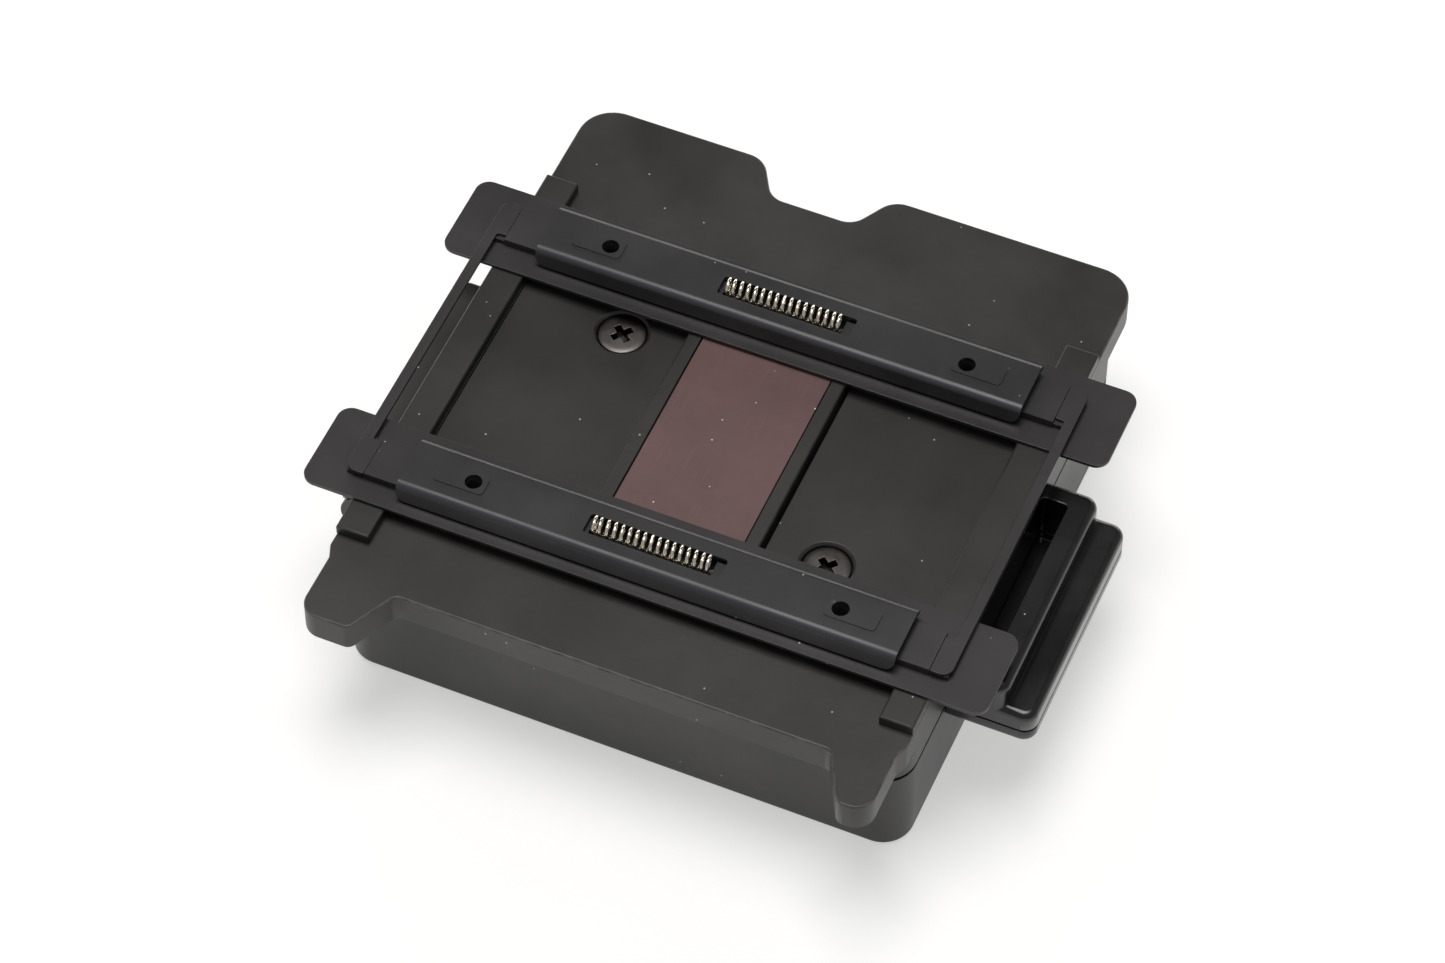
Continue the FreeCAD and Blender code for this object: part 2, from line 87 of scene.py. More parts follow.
# ---------------------------------------------------------------- sizes and colours
class CarrierStage(bpy.types.PropertyGroup):
    azimuth: FloatProperty(name="Azimuth", description="Turn of the camera round the carrier",
                           default=math.radians(23.34), subtype="ANGLE")
    elevation: FloatProperty(name="Elevation", description="Height of the camera above the horizon",
                             default=math.radians(52.32), subtype="ANGLE")
    distance: FloatProperty(name="Distance", description="From the camera to the point it looks at",
                            default=0.5368, unit="LENGTH")
    lens: FloatProperty(name="Lens", description="Focal length in millimetres", default=125.85, unit="CAMERA")
    aim_rise: FloatProperty(name="Aim rise", description="Height of the view's middle above the rail plates",
                            default=2.25 * MM, unit="LENGTH")
    aim_drop: FloatProperty(name="Aim drop", description="How far below the gate's middle the camera looks",
                            default=6.18 * MM, unit="LENGTH")
    table_size: FloatProperty(name="Table size", description="Width of the table", default=4.0, unit="LENGTH")
    floor_colour: FloatVectorProperty(name="Floor", description="Colour of the table", subtype="COLOR",
                                      size=3, default=(0.58, 0.58, 0.574))
    glow: FloatProperty(name="Table glow", description="Light that comes through the white table",
                        default=0.48)
    key_place: FloatVectorProperty(name="Key light place", description="Middle of the light overhead",
                                   size=3, subtype="TRANSLATION", default=(-0.08, 0.05, 1.12))
    key_size: FloatVectorProperty(name="Key light size", description="Width and depth of the light overhead",
                                  size=2, unit="LENGTH", default=(0.65, 0.65))
    key_power: FloatProperty(name="Key light", description="Power of the large soft light overhead",
                             default=9.2, unit="POWER")
    sweep_place: FloatVectorProperty(name="Sweep place", description="Middle of the lit backdrop behind",
                                     size=3, subtype="TRANSLATION", default=(-0.6, 1.5, 0.32))
    sweep_size: FloatVectorProperty(name="Sweep size", description="Width and height of the lit backdrop",
                                    size=2, unit="LENGTH", default=(2.4, 0.55))
    sweep_power: FloatProperty(name="Sweep light", description="Power of the lit backdrop behind",
                               default=12.0, unit="POWER")
    lamp_colour: FloatVectorProperty(name="Lamp colour", description="Slightly warm white of both lights",
                                     subtype="COLOR", size=3, default=(1.0, 0.985, 0.965))
    sky: FloatProperty(name="Surround", description="Brightness of the white room", default=0.32)
    gap: FloatProperty(name="Gap", description="Brightness of the dark part of the room behind", default=0.10)
    gap_start: FloatProperty(name="Gap start", description="Cosine of the angle at which the room darkens",
                             default=0.72)
    gap_full: FloatProperty(name="Gap full", description="Cosine of the angle at which it is darkest",
                            default=0.93)


class CarrierSizes(bpy.types.PropertyGroup):
    wire: FloatProperty(name="Wire", description="Diameter of the spring wire", default=0.38 * MM,
                        unit="LENGTH")
    coil: FloatProperty(name="Coil", description="Outer diameter of the springs", default=2.34 * MM,
                        unit="LENGTH")
    turns: FloatProperty(name="Open turns", description="Open turns of each spring", default=15.0)
    close_turns: FloatProperty(name="Close turns", description="Close turns at each end", default=1.0)
    close_pitch: FloatProperty(name="Close pitch", description="Pitch of the close turns",
                               default=0.5 * MM, unit="LENGTH")
    turn_steps: FloatProperty(name="Steps", description="Points in each turn", default=16.0)
    leg: FloatProperty(name="Leg", description="Straight end that enters the slide bar", default=1.1 * MM,
                       unit="LENGTH")
    screw_head: FloatProperty(name="Screw head", description="Diameter of the screw heads",
                              default=5.4 * MM, unit="LENGTH")
    screw_shank: FloatProperty(name="Screw shank", description="Diameter of the screw shanks",
                               default=2.5 * MM, unit="LENGTH")
    screw_rise: FloatProperty(name="Head height", description="Height of the screw heads",
                              default=1.0 * MM, unit="LENGTH")
    screw_point: FloatProperty(name="Screw point", description="Height of the taper at the screws' ends",
                               default=0.3 * MM, unit="LENGTH")
    recess_length: FloatProperty(name="Recess", description="Across the cross recess", default=2.9 * MM,
                                 unit="LENGTH")
    recess_width: FloatProperty(name="Recess arm", description="Width of each arm of the recess",
                                default=0.92 * MM, unit="LENGTH")
    recess_depth: FloatProperty(name="Recess depth", description="Depth of the cross recess",
                                default=1.05 * MM, unit="LENGTH")
    recess_turn: FloatProperty(name="Recess turn", description="Turn of the cross recess",
                               default=math.radians(40), subtype="ANGLE")
    recess_edge: FloatProperty(name="Recess edge", description="Chamfer of the recess and the screw's rims",
                               default=0.04 * MM, unit="LENGTH")
    moulded_edge: FloatProperty(name="Moulded edge", description="Rounding of moulded edges",
                                default=0.15 * MM, unit="LENGTH")
    machined_edge: FloatProperty(name="Machined edge", description="Rounding of machined edges",
                                 default=0.08 * MM, unit="LENGTH")
    cover_edge: FloatProperty(name="Cover edge", description="Rounding of the covers and their pads",
                              default=0.10 * MM, unit="LENGTH")
    sheet_edge: FloatProperty(name="Sheet edge", description="Rounding of sheet edges",
                              default=0.05 * MM, unit="LENGTH")


class CarrierFinish(bpy.types.PropertyGroup):
    housing: FloatVectorProperty(name="Housing", description="Matt moulded housing and stage plate",
                                 subtype="COLOR", size=3, default=(0.0186, 0.0169, 0.0157))
    bed: FloatVectorProperty(name="Bed", description="Bed plate, platen and guide bars",
                             subtype="COLOR", size=3, default=(0.0135, 0.0127, 0.0120))
    sheet: FloatVectorProperty(name="Sheet metal", description="Painted rail plates, bars and blades",
                               subtype="COLOR", size=3, default=(0.0165, 0.0148, 0.0150))
    cover: FloatVectorProperty(name="Rail covers", description="Satin paint on the bent covers",
                               subtype="COLOR", size=3, default=(0.0162, 0.0150, 0.0158))
    # Painted highlight: a lighter bluish colour on the covers' bends stands in for the reflection of the overhead
    # light.
    bend: FloatVectorProperty(name="Cover bends", description="Burnished paint on the covers' bends",
                              subtype="COLOR", size=3, default=(0.034, 0.035, 0.047))
    strip: FloatVectorProperty(name="Slip strip", description="Red-brown laminate strip",
                               subtype="COLOR", size=3, default=(0.108, 0.054, 0.053))
    gloss: FloatVectorProperty(name="Handle", description="Polished moulding of the handle",
                               subtype="COLOR", size=3, default=(0.0030, 0.0029, 0.0029))
    nickel: FloatVectorProperty(name="Springs", description="Nickel-plated wire",
                                subtype="COLOR", size=3, default=(0.92, 0.85, 0.74))
    screw: FloatVectorProperty(name="Screws", description="Blackened plating of the bed screws",
                               subtype="COLOR", size=3, default=(0.118, 0.108, 0.102))
    pin: FloatVectorProperty(name="Hinge pin", description="Bright steel of the hinge pin",
                             subtype="COLOR", size=3, default=(0.45, 0.45, 0.45))
    dust: FloatProperty(name="Dust", description="Share of dust specks on the surfaces", default=0.06,
                        subtype="FACTOR", min=0.0, max=1.0)


# ---------------------------------------------------------------- materials
class Finish:
    """A node material with short helpers for its parts."""

    def __init__(self, name, roughness, metallic=0.0):
        self.material = bpy.data.materials.new(name)
        self.material.use_nodes = True
        self.tree = self.material.node_tree
        self.shader = self.tree.nodes["Principled BSDF"]
        self.shader.inputs["Metallic"].default_value = metallic
        self.shader.inputs["Roughness"].default_value = roughness
        self.place = self.add("ShaderNodeTexCoord").outputs["Object"]

    def add(self, kind, **values):
        node = self.tree.nodes.new(kind)
        for key, value in values.items():
            setattr(node, key, value)
        return node

    def join(self, out, into):
        self.tree.links.new(out, into)

    def fill(self, value, socket):
        """Join a socket, or set a number, on this input."""
        if isinstance(value, bpy.types.NodeSocket):
            self.join(value, socket)
        else:
            socket.default_value = value

    def noise(self, scale, detail=3.0, rough=0.55, stretch=None):
        """Noise with this many features per metre, which stretch may draw out."""
        node = self.add("ShaderNodeTexNoise")
        node.inputs["Scale"].default_value = scale
        node.inputs["Detail"].default_value = detail
        node.inputs["Roughness"].default_value = rough
        place = self.place
        if stretch:
            mapping = self.add("ShaderNodeMapping")
            mapping.inputs["Scale"].default_value = stretch
            self.join(place, mapping.inputs["Vector"])
            place = mapping.outputs["Vector"]
        self.join(place, node.inputs["Vector"])
        return node.outputs["Fac"]

    def ramp(self, value, low, high, first=0.0, last=1.0):
        """The value's range from low to high, taken to first to last."""
        node = self.add("ShaderNodeMapRange")
        node.inputs["From Min"].default_value = low
        node.inputs["From Max"].default_value = high
        node.inputs["To Min"].default_value = first
        node.inputs["To Max"].default_value = last
        self.join(value, node.inputs["Value"])
        return node.outputs["Result"]

    def mix(self, share, first, second):
        node = self.add("ShaderNodeMix", data_type="RGBA")
        for colour, socket in ((first, node.inputs["A"]), (second, node.inputs["B"])):
            self.fill(colour if isinstance(colour, bpy.types.NodeSocket) else (*colour, 1.0), socket)
        self.join(share, node.inputs["Factor"])
        return node.outputs["Result"]

    def sums(self, operation, first, second=0.0):
        node = self.add("ShaderNodeMath", operation=operation)
        self.fill(first, node.inputs[0])
        self.fill(second, node.inputs[1])
        return node.outputs[0]

    def specks(self, share, cell=1.2 * MM, reach=0.085):
        """Small dust grains: few of the cells hold one."""
        cells = self.add("ShaderNodeTexVoronoi", feature="F1")
        cells.inputs["Scale"].default_value = 1 / cell
        self.join(self.place, cells.inputs["Vector"])
        pick = self.add("ShaderNodeSeparateColor")
        self.join(cells.outputs["Color"], pick.inputs["Color"])
        chosen = self.sums("LESS_THAN", pick.outputs["Red"], share)
        grain = self.sums("LESS_THAN", cells.outputs["Distance"], reach)
        return self.sums("MULTIPLY", chosen, grain)

    def rounded(self, radius):
        """The surface's normal, rounded off near an edge."""
        bevel = self.add("ShaderNodeBevel", samples=4)
        bevel.inputs["Radius"].default_value = radius
        return bevel.outputs["Normal"]

    def edges(self, radius):
        """Where the surface is this near an edge."""
        along = self.add("ShaderNodeVectorMath", operation="DOT_PRODUCT")
        self.join(self.rounded(radius), along.inputs[0])
        self.join(self.add("ShaderNodeNewGeometry").outputs["Normal"], along.inputs[1])
        return self.ramp(along.outputs["Value"], 0.995, 0.75)

    def facing(self, axis):
        """How far the surface faces along an axis of the carrier."""
        split = self.add("ShaderNodeSeparateXYZ")
        self.join(self.add("ShaderNodeTexCoord").outputs["Normal"], split.inputs["Vector"])
        return split.outputs[axis]

    def bends(self):
        """Where a sheet bends between facing up and facing along Y, strongest where it faces the front: the mask for
        a painted highlight.
        """
        along = self.facing("Y")
        side = self.sums("ABSOLUTE", along)
        band = self.sums("MULTIPLY", self.ramp(side, 0.12, 0.45), self.ramp(side, 0.93, 0.70))
        return self.sums("MULTIPLY", band, self.ramp(along, -0.1, 0.1, 1.0, 0.35))

    def rims(self):
        """The rounded top edges, where the surface is turned between level and upright."""
        up = self.facing("Z")
        return self.sums("MULTIPLY", self.ramp(up, 0.12, 0.35), self.ramp(up, 0.985, 0.90))

    def hollows(self, reach):
        """Where the surface is shut in by its own walls, as in a recess: the mask for painted shade there."""
        shut = self.add("ShaderNodeAmbientOcclusion", samples=8, only_local=True)
        shut.inputs["Distance"].default_value = reach
        return self.ramp(shut.outputs["AO"], 0.95, 0.62)

    def bump(self, height, strength, distance, normal=None):
        node = self.add("ShaderNodeBump")
        node.inputs["Strength"].default_value = strength
        node.inputs["Distance"].default_value = distance
        self.join(height, node.inputs["Height"])
        if normal is not None:
            self.join(normal, node.inputs["Normal"])
        return node.outputs["Normal"]

    def finished(self, colour, roughness, normal):
        """Join the finish's colour, roughness and normal to its shader."""
        self.join(colour, self.shader.inputs["Base Color"])
        self.join(roughness, self.shader.inputs["Roughness"])
        self.join(normal, self.shader.inputs["Normal"])
        return self.material


def shade(colour, share, lift=0.0):
    """The colour made lighter or darker."""
    return [channel * share + lift for channel in colour]


def matt_black(name, colour, dust, roughness, grain, grain_height, worn=0.35, bend=None):
    """Matt moulding or paint: faint mottle, dust, fine grain, rubbed top edges and, if a colour is given for the
    sheet's bends, a painted highlight there.
    """
    f = Finish(name, roughness)
    mottle = f.noise(90.0, 4.0)
    body = f.mix(f.ramp(mottle, 0.35, 0.65), shade(colour, 0.82), shade(colour, 1.35, 0.002))
    patches = f.noise(700.0, 2.0)
    rubbed = f.sums("MULTIPLY", f.rims(), f.ramp(patches, 0.40, 0.62, 0.4 * worn, worn))
    body = f.mix(rubbed, body, shade(colour, 3.0, 0.03))
    # Painted highlight on the sheet's bends, strongest on the front one.
    if bend is not None:
        body = f.mix(f.sums("MULTIPLY", f.bends(), 0.75), body, bend)
    speck = f.specks(dust)
    smudge = f.ramp(f.noise(55.0, 3.0), 0.30, 0.70, roughness - 0.05, roughness + 0.06)
    texture = f.sums("ADD", f.noise(grain, 2.0), speck)
    return f.finished(f.mix(speck, body, DUST), smudge, f.bump(texture, 0.55, grain_height))


def laminate(name, colour, dust):
    """Red-brown strip: matt, a little chalky, with rub lines along it and white dust."""
    f = Finish(name, 0.55)
    chalk = f.noise(130.0, 5.0, 0.65)
    body = f.mix(f.ramp(chalk, 0.30, 0.75), shade(colour, 0.86), shade(colour, 1.13, 0.004))
    lines = f.noise(380.0, 2.0, 0.5, (6.0, 0.35, 6.0))
    body = f.mix(f.ramp(lines, 0.60, 0.72, 0.0, 0.25), body, shade(colour, 1.35, 0.01))
    speck = f.specks(min(1.0, dust * 3.0))
    smudge = f.ramp(f.noise(60.0), 0.3, 0.7, 0.50, 0.62)
    grain = f.noise(5200.0, 2.0)
    return f.finished(f.mix(speck, body, STRIP_DUST), smudge,
                      f.bump(grain, 0.4, 0.004 * MM, f.rounded(0.06 * MM)))


def polished(name, colour, dust):
    """Glossy moulding with faint handling marks and a little dust."""
    f = Finish(name, 0.24)
    f.shader.inputs["Coat Weight"].default_value = 0.25
    f.shader.inputs["Coat Roughness"].default_value = 0.12
    mottle = f.noise(140.0, 3.0)
    body = f.mix(f.ramp(mottle, 0.35, 0.7), colour, shade(colour, 1.6, 0.002))
    handling = f.ramp(f.noise(90.0, 4.0), 0.35, 0.65, 0.20, 0.30)
    ripple = f.noise(900.0, 2.0)
    return f.finished(f.mix(f.specks(dust), body, HANDLE_DUST), handling,
                      f.bump(ripple, 0.25, 0.004 * MM, f.rounded(0.15 * MM)))


def plated(name, colour, roughness, tone=0.82, worn=0.0, painted_recess_shade=0.0):
    """Plated metal with faint drawing marks, rubbed edges and painted shade darkening its recesses."""
    f = Finish(name, roughness, 1.0)
    marks = f.noise(1500.0, 3.0)
    body = f.mix(f.ramp(marks, 0.35, 0.65), shade(colour, tone), colour)
    if worn:
        body = f.mix(f.sums("MULTIPLY", f.edges(0.16 * MM), worn), body, BARE_METAL)
    # Painted shade: an ambient-occlusion mask darkens the recesses.
    if painted_recess_shade:
        body = f.mix(f.sums("MULTIPLY", f.hollows(0.9 * MM), painted_recess_shade), body, PAINTED_RECESS_SHADE)
    haze = f.ramp(f.noise(900.0, 2.0), 0.3, 0.7, roughness - 0.04, roughness + 0.06)
    scratches = f.noise(3000.0, 2.0)
    return f.finished(body, haze, f.bump(scratches, 0.25, 0.003 * MM, f.rounded(0.05 * MM)))


def table_finish(name, colour, glow):
    """White translucent table, lit a little from below."""
    f = Finish(name, 0.75)
    f.shader.inputs["Emission Color"].default_value = TABLE_LIGHT
    f.shader.inputs["Emission Strength"].default_value = glow
    clouds = f.ramp(f.noise(40.0, 4.0), 0.3, 0.7)
    f.join(f.mix(clouds, shade(colour, 0.985), colour), f.shader.inputs["Base Color"])
    f.join(f.bump(f.noise(900.0, 3.0), 0.2, 0.02 * MM), f.shader.inputs["Normal"])
    return f.material


def surround(name, sizes, opening):
    """White room that is darker in one direction."""
    world = bpy.data.worlds.new(name)
    world.use_nodes = True
    tree = world.node_tree
    background = tree.nodes["Background"]
    background.inputs["Color"].default_value = (1.0, 1.0, 1.0, 1.0)
    where = tree.nodes.new("ShaderNodeTexCoord")
    along = tree.nodes.new("ShaderNodeVectorMath")
    along.operation = "DOT_PRODUCT"
    along.inputs[1].default_value = opening
    tree.links.new(where.outputs["Generated"], along.inputs[0])
    dim = tree.nodes.new("ShaderNodeMapRange")
    dim.interpolation_type = "SMOOTHSTEP"
    dim.inputs["From Min"].default_value = sizes.gap_start
    dim.inputs["From Max"].default_value = sizes.gap_full
    dim.inputs["To Min"].default_value = sizes.sky
    dim.inputs["To Max"].default_value = sizes.gap
    tree.links.new(along.outputs["Value"], dim.inputs["Value"])
    tree.links.new(dim.outputs["Result"], background.inputs["Strength"])
    return world


def make_finishes(sizes):
    """One finish for each material slot."""
    dust = sizes.dust
    return {
        "housing_black": matt_black("housing_black", sizes.housing, dust, roughness=0.39, grain=4200.0,
                                    grain_height=0.012 * MM, worn=1.0),
        "bed_black": matt_black("bed_black", sizes.bed, dust, roughness=0.40, grain=5200.0,
                                grain_height=0.006 * MM, worn=0.2),
        "sheet_black": matt_black("sheet_black", sizes.sheet, dust * 0.7, roughness=0.38, grain=6000.0,
                                  grain_height=0.005 * MM),
        # The covers get a painted highlight on their bends.
        "cover_black": matt_black("cover_black", sizes.cover, dust * 0.7, roughness=0.37, grain=6000.0,
                                  grain_height=0.005 * MM, worn=0.0, bend=sizes.bend),
        "spacer_black": matt_black("spacer_black", sizes.sheet, dust, roughness=0.50, grain=6000.0,
                                   grain_height=0.005 * MM),
        "phenolic_brown": laminate("phenolic_brown", sizes.strip, dust),
        "handle_gloss": polished("handle_gloss", sizes.gloss, dust * 0.5),
        "spring_nickel": plated("spring_nickel", sizes.nickel, roughness=0.13, tone=0.88),
        # The screws get painted shade in their cross recesses.
        "screw_black": plated("screw_black", sizes.screw, roughness=0.36, tone=0.85, worn=0.5, painted_recess_shade=1.0),
        "pin_steel": plated("pin_steel", sizes.pin, roughness=0.32),
    }


def dress(piece, material):
    piece.data.materials.clear()
    piece.data.materials.append(material)


# ---------------------------------------------------------------- modelling helpers
def only(piece):
    """Select this piece alone."""
    bpy.ops.object.select_all(action="DESELECT")
    piece.select_set(True)
    bpy.context.view_layer.objects.active = piece


def refine(piece, kind, **values):
    """Add a modifier with these settings and apply it."""
    only(piece)
    modifier = piece.modifiers.new(kind.lower(), kind)
    for key, value in values.items():
        setattr(modifier, key, value)
    bpy.ops.object.modifier_apply(modifier=modifier.name)


def settle(piece):
    """Put the piece's place into its mesh, with its normals outwards."""
    only(piece)
    bpy.ops.object.transform_apply(location=True, rotation=True, scale=True)
    bpy.ops.object.mode_set(mode="EDIT")
    bpy.ops.mesh.select_all(action="SELECT")
    bpy.ops.mesh.remove_doubles(threshold=MERGE)
    bpy.ops.mesh.normals_make_consistent(inside=False)
    bpy.ops.object.mode_set(mode="OBJECT")


def smooth(piece, angle=CORNER):
    """Smooth the piece except at its sharp edges."""
    only(piece)
    bpy.ops.object.shade_smooth_by_angle(angle=angle)


def stands_for(piece, node):
    """The piece takes over the finish and the place of this node."""
    slot = PARTS[node]["material_slot"]
    dress(piece, FINISHES[slot])
    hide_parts(node)


def turned(name, spot, rings, sides=64):
    """Round piece on a vertical axis through spot, as (radius, height) rings from its foot up."""
    radius, height = rings[0]
    bpy.ops.object.select_all(action="DESELECT")
    bpy.ops.mesh.primitive_circle_add(vertices=sides, radius=radius, fill_type="NGON",
                                      location=(spot[0], spot[1], height))
    piece = bpy.context.object
    piece.name = name
    bpy.ops.object.mode_set(mode="EDIT")
    for wider, higher in rings[1:]:
        bpy.ops.mesh.extrude_region_move(TRANSFORM_OT_translate={"value": (0, 0, higher - height)})
        share = wider / radius
        bpy.ops.transform.resize(value=(share, share, 1), center_override=(spot[0], spot[1], higher))
        radius, height = wider, higher
    bpy.ops.object.mode_set(mode="OBJECT")
    settle(piece)
    return piece


def block(name, middle, size):
    """Square block round its middle, to be shaped further."""
    bpy.ops.object.select_all(action="DESELECT")
    bpy.ops.mesh.primitive_cube_add(size=1.0, location=middle)
    piece = bpy.context.object
    piece.name = name
    piece.scale = size
    settle(piece)
    return piece


def eased(node, width):
    """The node's shape with its facets merged into clean faces and its sharp edges rounded."""
    piece = bpy.data.objects.new("fine_" + node, NODES[node].data.copy())
    bpy.context.scene.collection.objects.link(piece)
    only(piece)
    bpy.ops.object.mode_set(mode="EDIT")
    bpy.ops.mesh.select_all(action="SELECT")
    bpy.ops.mesh.remove_doubles(threshold=MERGE)
    bpy.ops.mesh.dissolve_limited(angle_limit=FLAT)
    bpy.ops.object.mode_set(mode="OBJECT")
    refine(piece, "BEVEL", width=width, segments=2, limit_method="ANGLE", angle_limit=CORNER,
           use_clamp_overlap=True)
    smooth(piece)
    refine(piece, "WEIGHTED_NORMAL", weight=100, keep_sharp=True)
    stands_for(piece, node)
    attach(piece, BODY[node])


# ---------------------------------------------------------------- stage helpers
def area_light(name, place, size, power, colour, aim):
    """Rectangular light that faces the point aim."""
    lamp = bpy.data.lights.new(name, "AREA")
    lamp.shape = "RECTANGLE"
    lamp.size, lamp.size_y = size
    lamp.energy = power
    lamp.color = colour
    light = bpy.data.objects.new(name, lamp)
    bpy.context.scene.collection.objects.link(light)
    light.location = place
    light.rotation_euler = (aim - Vector(place)).to_track_quat("-Z", "Y").to_euler()


def camera_at(name, aim, back, distance, lens):
    """Camera that looks at the point aim from the direction back."""
    data = bpy.data.cameras.new(name)
    data.lens = lens
    data.clip_start, data.clip_end = 0.05, 10.0
    camera = bpy.data.objects.new(name, data)
    bpy.context.scene.collection.objects.link(camera)
    camera.location = aim + back * distance
    camera.rotation_mode = "QUATERNION"
    camera.rotation_quaternion = (-back).to_track_quat("-Z", "Y")
    return camera


# ---------------------------------------------------------------- operators
class CARRIER_OT_stage(bpy.types.Operator):
    """Add the table, the lights and the camera"""
    bl_idname = "carrier.stage"
    bl_label = "Stage"

    def execute(self, context):
        sizes = context.scene.carrier_stage
        scene = context.scene
        scene.view_settings.view_transform = "Standard"
        bpy.ops.mesh.primitive_plane_add(size=sizes.table_size, location=(0, 0, 0))
        table = context.object
        table.name = "table"
        dress(table, table_finish("table_white", sizes.floor_colour, sizes.glow))
        turn, tilt = sizes.azimuth, sizes.elevation
        back = Vector((math.sin(turn) * math.cos(tilt), -math.cos(turn) * math.cos(tilt), math.sin(tilt)))
        right = Vector((math.cos(turn), math.sin(turn), 0))
        top = Vector((0, 0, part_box("rear_rail_plate")[1].z + sizes.aim_rise))
        aim = top - back.cross(right) * sizes.aim_drop
        scene.camera = camera_at("camera", aim, back, sizes.distance, sizes.lens)
        area_light("key_light", sizes.key_place, sizes.key_size, sizes.key_power, sizes.lamp_colour, aim)
        area_light("sweep_light", sizes.sweep_place, sizes.sweep_size, sizes.sweep_power, sizes.lamp_colour,
                   aim)
        scene.world = surround("white_room", sizes, Vector((-back.x, -back.y, back.z)))
        return {"FINISHED"}


class CARRIER_OT_finishes(bpy.types.Operator):
    """Give every piece of the frame its finish"""
    bl_idname = "carrier.finishes"
    bl_label = "Finishes"

    def execute(self, context):
        FINISHES.update(make_finishes(context.scene.carrier_finish))
        for node, part in PARTS.items():
            dress(NODES[node], FINISHES[part["material_slot"]])
        return {"FINISHED"}


class CARRIER_OT_springs(bpy.types.Operator):
    """Wind the two extension springs between the slide bars"""
    bl_idname = "carrier.springs"
    bl_label = "Springs"

    def path(self, sizes, start, end, y, z):
        """Points of half a spring along X, with close turns and a straight leg at its outer end."""
        way = 1 if end > start else -1
        open_turns = sizes.turns / 2
        pitch = (abs(end - start) - sizes.close_turns * sizes.close_pitch) / open_turns
        radius = (sizes.coil - sizes.wire) / 2
        points = []
        for step in range(int((open_turns + sizes.close_turns) * sizes.turn_steps) + 1):
            turn = step / sizes.turn_steps
            wide = min(turn, open_turns)
            along = wide * pitch + (turn - wide) * sizes.close_pitch
            angle = way * math.tau * (turn - open_turns - sizes.close_turns)
            points.append((start + way * along, y + radius * math.sin(angle), z - radius * math.cos(angle)))
        points.append((end + way * sizes.wire, y, z - radius))
        points.append((end + way * sizes.leg, y, z - radius))
        return points

    def wind(self, name, points, wire):
        """Round wire along the points."""
        bpy.ops.object.select_all(action="DESELECT")
        bpy.ops.curve.primitive_nurbs_path_add(location=(0, 0, 0))
        piece = bpy.context.object
        piece.name = name
        line = piece.data
        line.splines.clear()
        spline = line.splines.new("NURBS")
        spline.points.add(len(points) - 1)
        for point, place in zip(spline.points, points):
            point.co = (*place, 1.0)
        spline.order_u = 3
        spline.use_endpoint_u = True
        spline.resolution_u = 2
        line.bevel_depth = wire / 2
        line.bevel_resolution = 3
        line.use_fill_caps = True
        only(piece)
        bpy.ops.object.convert(target="MESH")
        settle(piece)
        smooth(piece, math.radians(60))
        return piece

    def execute(self, context):
        sizes = context.scene.carrier_sizes
        for rail in ("rear", "front"):
            node = rail + "_spring"
            low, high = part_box(node)
            y, z = (low.y + high.y) / 2, (low.z + high.z) / 2
            middle = (low.x + high.x) / 2
            for hand, end in (("left", low.x + sizes.wire / 2), ("right", high.x - sizes.wire / 2)):
                piece = self.wind(f"{hand}_half_{node}", self.path(sizes, middle, end, y, z), sizes.wire)
                stands_for(piece, node)
                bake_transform(piece)
        return {"FINISHED"}


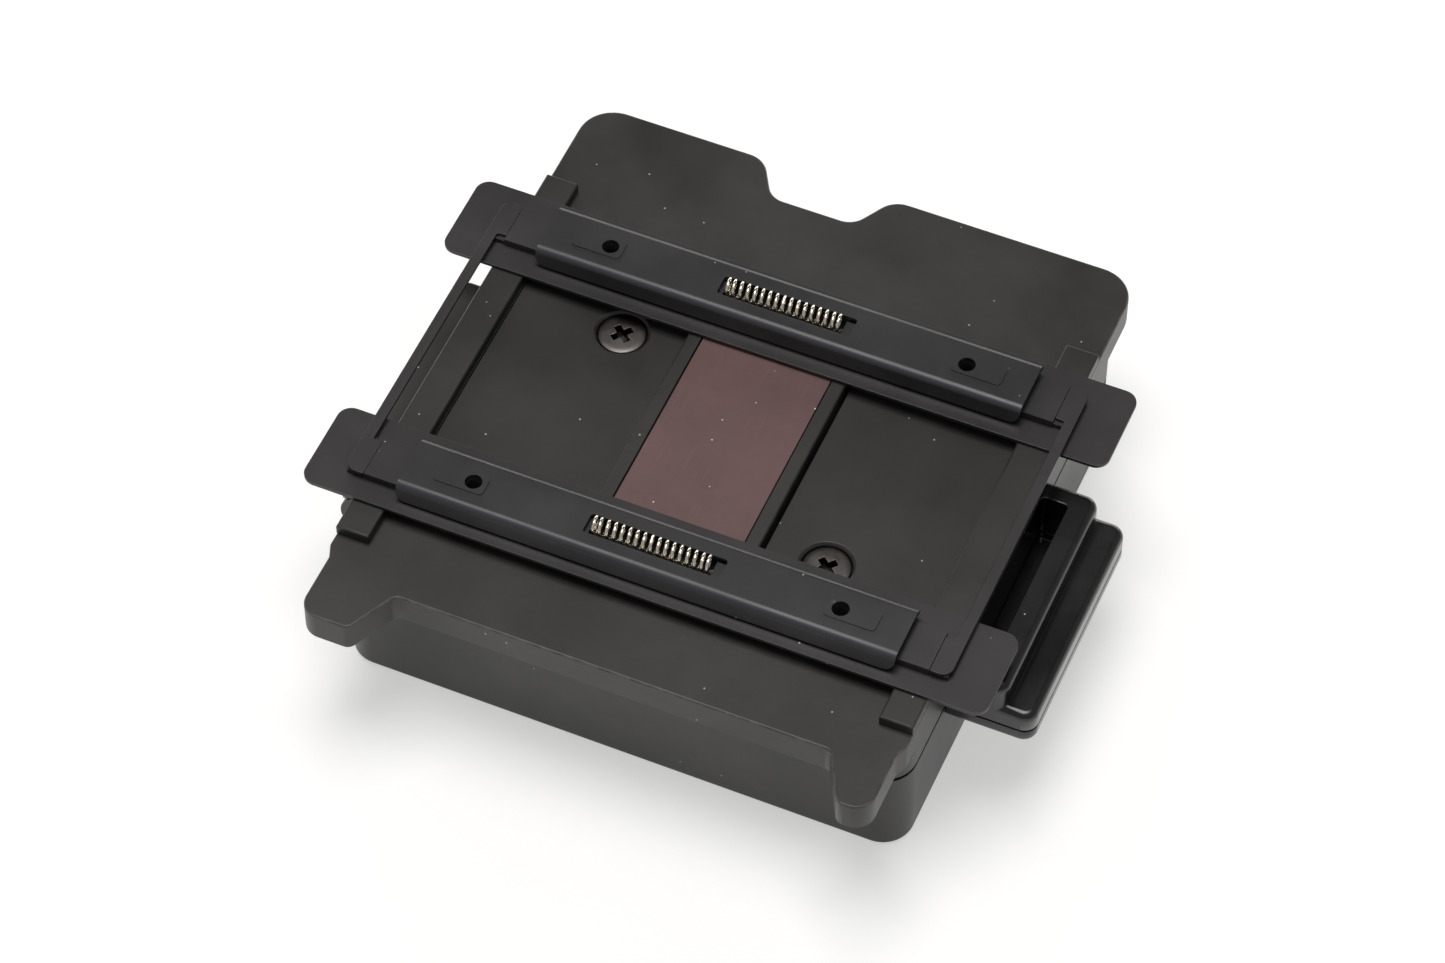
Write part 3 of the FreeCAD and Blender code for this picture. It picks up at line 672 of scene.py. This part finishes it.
class CARRIER_OT_screws(bpy.types.Operator):
    """Turn the two bed screws and cut their cross recesses"""
    bl_idname = "carrier.screws"
    bl_label = "Bed screws"

    def arm(self, sizes, x, y, top, turn):
        """One arm of the recess, narrower and shorter at its foot."""
        arm = block("arm", (x, y, top), (sizes.recess_length, sizes.recess_width, 2 * sizes.recess_depth))
        bpy.ops.object.mode_set(mode="EDIT")
        bpy.ops.mesh.select_all(action="DESELECT")
        bpy.ops.object.mode_set(mode="OBJECT")
        for face in arm.data.polygons:
            face.select = face.normal.z < -0.5
        bpy.ops.object.mode_set(mode="EDIT")
        bpy.ops.transform.resize(value=RECESS_FOOT, center_override=(x, y, top - sizes.recess_depth))
        bpy.ops.mesh.select_all(action="SELECT")
        bpy.ops.transform.rotate(value=turn, orient_axis="Z", center_override=(x, y, top))
        bpy.ops.object.mode_set(mode="OBJECT")
        return arm

    def screw(self, sizes, name, x, y, foot, top):
        """Domed head on a shank with a short taper at its end."""
        head = sizes.screw_head / 2
        shank = sizes.screw_shank / 2
        under = top - sizes.screw_rise
        stem = [(shank * SHANK_POINT, foot), (shank, foot + sizes.screw_point), (shank, under), (head, under)]
        dome = [(head * width, top - drop * sizes.screw_rise) for width, drop in DOME]
        return turned(name, (x, y), stem + dome)

    def execute(self, context):
        sizes = context.scene.carrier_sizes
        low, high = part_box("bed_screws")
        head = sizes.screw_head / 2
        for index, (x, y) in enumerate(((low.x + head, high.y - head), (high.x - head, low.y + head))):
            screw = self.screw(sizes, f"bed_screw_{index + 1}", x, y, low.z, high.z)
            for turn in (0, math.pi / 2):
                arm = self.arm(sizes, x, y, high.z, sizes.recess_turn + turn)
                refine(screw, "BOOLEAN", operation="DIFFERENCE", object=arm, solver="EXACT")
                bpy.data.objects.remove(arm)
            refine(screw, "BEVEL", width=sizes.recess_edge, segments=1, limit_method="ANGLE",
                   angle_limit=math.radians(40))
            smooth(screw, math.radians(35))
            stands_for(screw, "bed_screws")
            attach(screw, "upper_half")
        return {"FINISHED"}


class CARRIER_OT_mouldings(bpy.types.Operator):
    """Ease the sharp edges of the mouldings and the sheet pieces"""
    bl_idname = "carrier.mouldings"
    bl_label = "Mouldings and sheet"

    def execute(self, context):
        sizes = context.scene.carrier_sizes
        ease = {"housing_black": sizes.moulded_edge, "handle_gloss": sizes.moulded_edge,
                "bed_black": sizes.machined_edge, "sheet_black": sizes.sheet_edge,
                "cover_black": sizes.cover_edge, "spacer_black": sizes.sheet_edge,
                "phenolic_brown": sizes.sheet_edge, "pin_steel": sizes.machined_edge}
        for node, part in PARTS.items():
            if part["material_slot"] in ease:
                eased(node, ease[part["material_slot"]])
        return {"FINISHED"}


GROUPS = (CarrierStage, CarrierSizes, CarrierFinish)
OPERATORS = (CARRIER_OT_stage, CARRIER_OT_finishes, CARRIER_OT_springs, CARRIER_OT_screws,
             CARRIER_OT_mouldings)


class CARRIER_PT_panel(bpy.types.Panel):
    bl_idname = "CARRIER_PT_panel"
    bl_label = "Negative Carrier"
    bl_space_type = "VIEW_3D"
    bl_region_type = "UI"
    bl_category = "Carrier"

    def draw(self, context):
        for operator in OPERATORS:
            self.layout.operator(operator.bl_idname)


def register():
    for kind in (*GROUPS, *OPERATORS, CARRIER_PT_panel):
        bpy.utils.register_class(kind)
    bpy.types.Scene.carrier_stage = PointerProperty(type=CarrierStage)
    bpy.types.Scene.carrier_sizes = PointerProperty(type=CarrierSizes)
    bpy.types.Scene.carrier_finish = PointerProperty(type=CarrierFinish)


def unregister():
    del bpy.types.Scene.carrier_finish
    del bpy.types.Scene.carrier_sizes
    del bpy.types.Scene.carrier_stage
    for kind in reversed((*GROUPS, *OPERATORS, CARRIER_PT_panel)):
        bpy.utils.unregister_class(kind)


def main():
    register()
    bpy.ops.object.select_all(action="DESELECT")
    bpy.ops.carrier.stage()
    bpy.ops.carrier.finishes()
    bpy.ops.carrier.springs()
    bpy.ops.carrier.screws()
    bpy.ops.carrier.mouldings()


if __name__ == "__main__":
    main()
